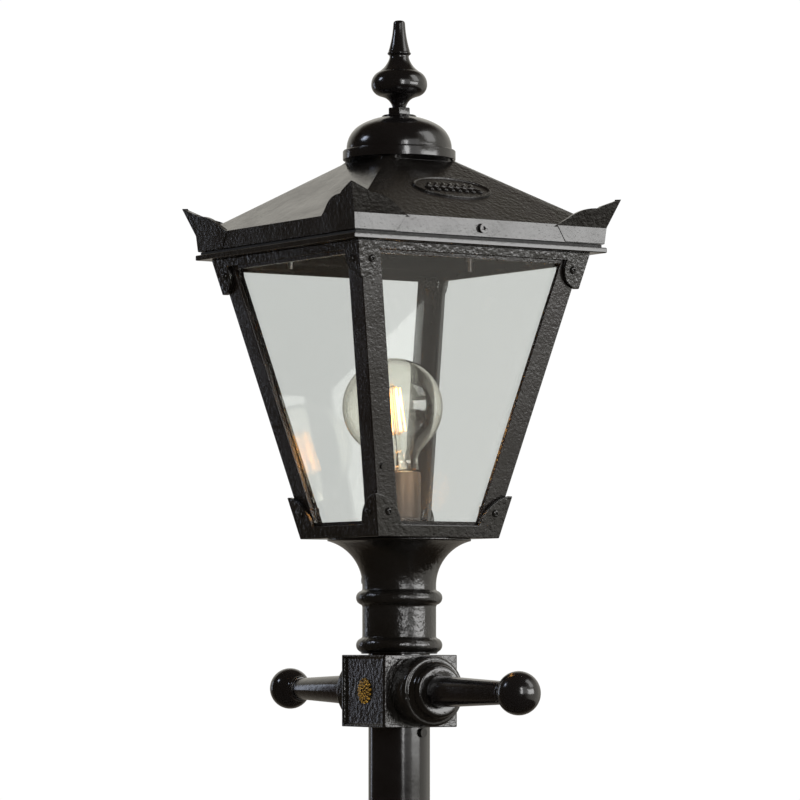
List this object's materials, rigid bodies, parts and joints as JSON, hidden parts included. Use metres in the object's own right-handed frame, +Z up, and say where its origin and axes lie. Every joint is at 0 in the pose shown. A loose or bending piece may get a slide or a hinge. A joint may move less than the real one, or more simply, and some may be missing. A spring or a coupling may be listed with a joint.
{
  "type": "street lamp post",
  "caption": "Short street lamp post: square tapered glass lantern with a hinged horned roof and finial, flared neck, ladder bars with ball ends, round post, cast foot.",
  "frame": {"origin": "centre of the foot flange on the ground", "axes": "+Z up along the post, +X along one ladder arm, -Y towards the access door; the lantern roof hinges on the -X side"},
  "size_m": [0.475, 0.3086, 2.2378],
  "materials": {
    "black_casting": "gloss paint over sand-cast aluminium",
    "black_gloss": "gloss powder coat",
    "black_screw": "blackened and painted steel",
    "zinc_steel": "zinc plated",
    "gilt": "gold leaf over a casting",
    "rubber": "EPDM rubber",
    "grey_plastic": "moulded, matte",
    "black_nylon": "moulded nylon",
    "board": "resin-bonded board",
    "pane_glass": "clear float glass",
    "bronze_holder": "bronzed metal sleeve",
    "cap_brass": "nickel-plated brass",
    "bulb_glass": "clear blown glass",
    "filament": "coated LED sticks, lit"
  },
  "bodies": {
    "post": {"base_pedestal": "black_casting", "ladder_block": "black_casting", "ladder_flange_right": "black_casting", "ladder_flange_left": "black_casting", "neck_casting": "black_casting", "base_tray": "black_casting", "corner_bar_front_right": "black_casting", "corner_bar_back_right": "black_casting", "corner_bar_back_left": "black_casting", "corner_bar_front_left": "black_casting", "top_ring": "black_casting", "post_tube": "black_gloss", "ladder_bar_right": "black_gloss", "ladder_bar_left": "black_gloss", "ladder_ball_right": "black_gloss", "ladder_ball_left": "black_gloss", "drip_plate": "black_gloss", "glazing_rails": "black_gloss", "foot_set_screws": "black_screw", "post_stop_screws": "black_screw", "neck_set_screws": "black_screw", "ear_screws": "black_screw", "earth_screw": "black_screw", "board_screws": "zinc_steel", "tray_bolts": "zinc_steel", "plate_screws": "zinc_steel", "glazing_clips": "zinc_steel", "holder_stand": "zinc_steel", "door_hinge_pins": "zinc_steel", "roof_hinge_pin": "zinc_steel", "rosette_front": "gilt", "rosette_back": "gilt", "door_gasket": "rubber", "roof_gasket": "rubber", "terminal_box": "grey_plastic", "terminal_box_lid": "grey_plastic", "cable_glands": "black_nylon", "terminal_board": "board", "glass_pane_right": "pane_glass", "glass_pane_back": "pane_glass", "glass_pane_left": "pane_glass", "glass_pane_front": "pane_glass", "lampholder": "bronze_holder"},
    "door": {"access_door": "black_gloss", "lock_barrel": "zinc_steel"},
    "door_lock": {"lock_cam": "zinc_steel", "lock_spindle": "zinc_steel"},
    "roof": {"roof_casting": "black_casting", "dome_bridge": "zinc_steel", "centre_rod": "zinc_steel", "rod_nuts": "zinc_steel", "dome": "black_gloss", "dome_washer": "black_gloss", "lock_nut": "black_gloss", "finial": "black_gloss"},
    "roof_lock": {"roof_lock_screw": "black_screw"},
    "bulb": {"bulb_cap": "cap_brass", "bulb_glass": "bulb_glass", "bulb_stem": "bulb_glass", "bulb_filaments": "filament"}
  },
  "joints": [
    {"name": "door_hinge", "type": "hinge", "parent": "post", "child": "door", "pos_m": [-0.07, -0.093, 0.18], "axis": [0, 0, -1], "range_deg": [0, 110]},
    {"name": "door_lock_turn", "type": "hinge", "parent": "door", "child": "door_lock", "pos_m": [0.04, -0.085, 0.18], "axis": [0, 1, 0], "range_deg": [0, 90]},
    {"name": "roof_hinge", "type": "hinge", "parent": "post", "child": "roof", "pos_m": [-0.15, 0, 2.033], "axis": [0, -1, 0], "range_deg": [0, 100]},
    {"name": "roof_lock_turn", "type": "hinge", "parent": "roof", "child": "roof_lock", "pos_m": [0.14, 0, 2.0238], "axis": [1, 0, 0], "range_deg": [0, 360]},
    {"name": "bulb_turn", "type": "hinge", "parent": "post", "child": "bulb", "pos_m": [0, 0, 1.783], "axis": [0, 0, 1], "range_deg": [0, 360]}
  ]
}
